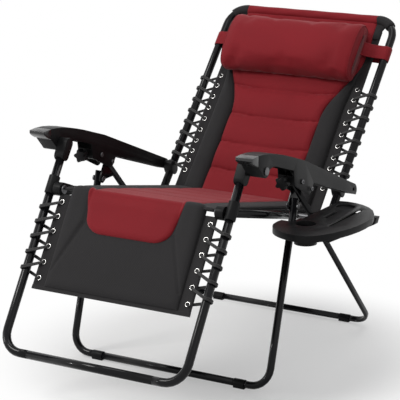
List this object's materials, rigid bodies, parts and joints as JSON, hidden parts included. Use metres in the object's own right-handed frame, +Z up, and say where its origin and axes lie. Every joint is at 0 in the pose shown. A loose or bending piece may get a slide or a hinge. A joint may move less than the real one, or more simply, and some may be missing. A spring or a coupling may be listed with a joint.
{
  "type": "zero gravity recliner",
  "caption": "Folding zero gravity lounge chair with laced padded sling, linked reclining armrests, head pillow and clip-on side tray.",
  "frame": {"origin": "on the floor under the middle of the bounding box in X and Y", "axes": "+Z up, -Y towards the sitter's feet, +X towards the side with the tray"},
  "size_m": [0.9054, 1.3528, 0.9667],
  "materials": {
    "tube": "gloss black powder coat on steel tube",
    "plastic": "satin black moulded",
    "gloss": "gloss black moulded",
    "steel": "zinc plated pins and bolts",
    "red_fabric": "woven dark red polyester, padded",
    "black_fabric": "woven charcoal polyester",
    "cord": "braided black elastic cord"
  },
  "bodies": {
    "rear_base": {"rear_leg_right": "tube", "rear_leg_left": "tube", "rear_floor_bar": "tube", "rear_foot_right": "plastic", "rear_foot_left": "plastic", "web_plate_right": "tube", "web_plate_left": "tube", "seat_pivot_bolt_right": "steel", "seat_pivot_bolt_left": "steel"},
    "front_base": {"front_leg_right": "tube", "front_leg_left": "tube", "front_floor_bar": "tube", "front_foot_right": "plastic", "front_foot_left": "plastic", "crossing_bolt_right": "steel", "crossing_bolt_left": "steel"},
    "seat_frame": {"seat_tube_right": "tube", "seat_tube_left": "tube", "front_seat_bracket_right": "plastic", "front_seat_bracket_left": "plastic", "rear_seat_bracket_right": "plastic", "rear_seat_bracket_left": "plastic", "seat_pad": "red_fabric"},
    "knee_pins": {"knee_pin_right": "steel", "knee_pin_left": "steel"},
    "hip_pins": {"hip_pin_right": "steel", "hip_pin_left": "steel"},
    "leg_rest": {"leg_rest_tube_right": "tube", "leg_rest_tube_left": "tube", "foot_bar": "tube", "knee_collar_right": "plastic", "knee_collar_left": "plastic", "arm_yoke_right": "plastic", "arm_yoke_left": "plastic", "leg_pad": "black_fabric", "leg_lacing_right": "cord", "leg_lacing_left": "cord"},
    "arm_pins": {"arm_pin_right": "steel", "arm_pin_left": "steel"},
    "armrests": {"armrest_right": "plastic", "armrest_left": "plastic", "armrest_nose_right": "gloss", "armrest_nose_left": "gloss"},
    "knob_right": {"lock_knob_right": "plastic"},
    "knob_left": {"lock_knob_left": "plastic"},
    "back_frame": {"back_tube_right": "tube", "back_tube_left": "tube", "back_top_bar": "tube", "arm_clamp_right": "plastic", "arm_clamp_left": "plastic", "top_sleeve": "red_fabric", "back_pad": "red_fabric", "back_lacing_right": "cord", "back_lacing_left": "cord"},
    "pillow": {"head_pillow": "red_fabric", "pillow_strap_right": "red_fabric", "pillow_strap_left": "red_fabric"},
    "tray": {"side_tray": "plastic", "tray_support": "plastic"}
  },
  "joints": [
    {"name": "fold", "type": "hinge", "parent": "rear_base", "child": "front_base", "pos_m": [-0.08025, -0.10525, 0.522], "axis": [1, 0, 0], "range_deg": [0, 41]},
    {"name": "seat_fold", "type": "hinge", "parent": "rear_base", "child": "seat_frame", "pos_m": [-0.08025, 0.03429, 0.455], "axis": [1, 0, 0], "range_deg": [-21.77, 0]},
    {"name": "hip_fold", "type": "hinge", "parent": "seat_frame", "child": "hip_pins", "pos_m": [-0.08025, 0.17725, 0.385], "axis": [1, 0, 0], "range_deg": [0, 56]},
    {"name": "knee_fold", "type": "hinge", "parent": "seat_frame", "child": "knee_pins", "pos_m": [-0.08025, -0.40375, 0.56], "axis": [1, 0, 0], "range_deg": [0, 56]},
    {"name": "arm_fold", "type": "hinge", "parent": "leg_rest", "child": "arm_pins", "pos_m": [-0.08025, -0.33221, 0.67449], "axis": [1, 0, 0], "range_deg": [-56, 0]},
    {"name": "recline", "type": "hinge", "parent": "hip_pins", "child": "back_frame", "pos_m": [-0.08025, 0.17725, 0.385], "axis": [1, 0, 0], "range_deg": [-22, 16]},
    {"name": "leg_rest_tilt", "type": "hinge", "parent": "knee_pins", "child": "leg_rest", "pos_m": [-0.08025, -0.40375, 0.56], "axis": [1, 0, 0], "range_deg": [-22.2, 16.2]},
    {"name": "arm_level", "type": "hinge", "parent": "arm_pins", "child": "armrests", "pos_m": [-0.08025, -0.33221, 0.67449], "axis": [1, 0, 0], "range_deg": [-16.2, 22.2]},
    {"name": "knob_right_turn", "type": "hinge", "parent": "armrests", "child": "knob_right", "pos_m": [0.26225, -0.16575, 0.608], "axis": [0, 1, 0], "range_deg": [0, 120]},
    {"name": "knob_left_turn", "type": "hinge", "parent": "armrests", "child": "knob_left", "pos_m": [-0.42275, -0.16575, 0.608], "axis": [0, 1, 0], "range_deg": [0, 120]},
    {"name": "pillow_slide", "type": "slide", "parent": "back_frame", "child": "pillow", "axis": [0, -0.6494, -0.7604], "range_m": [0, 0.08]},
    {"name": "tray_slide", "type": "slide", "parent": "rear_base", "child": "tray", "axis": [1, 0, 0], "range_m": [0, 0.1]}
  ],
  "couplings": [
    {"joint": "seat_fold", "follows": "fold", "ratio": -0.52613},
    {"joint": "hip_fold", "follows": "fold", "ratio": 1.3571},
    {"joint": "knee_fold", "follows": "fold", "ratio": 1.3571},
    {"joint": "arm_fold", "follows": "fold", "ratio": -1.3571},
    {"joint": "leg_rest_tilt", "follows": "recline", "ratio": 1},
    {"joint": "arm_level", "follows": "recline", "ratio": -1}
  ]
}
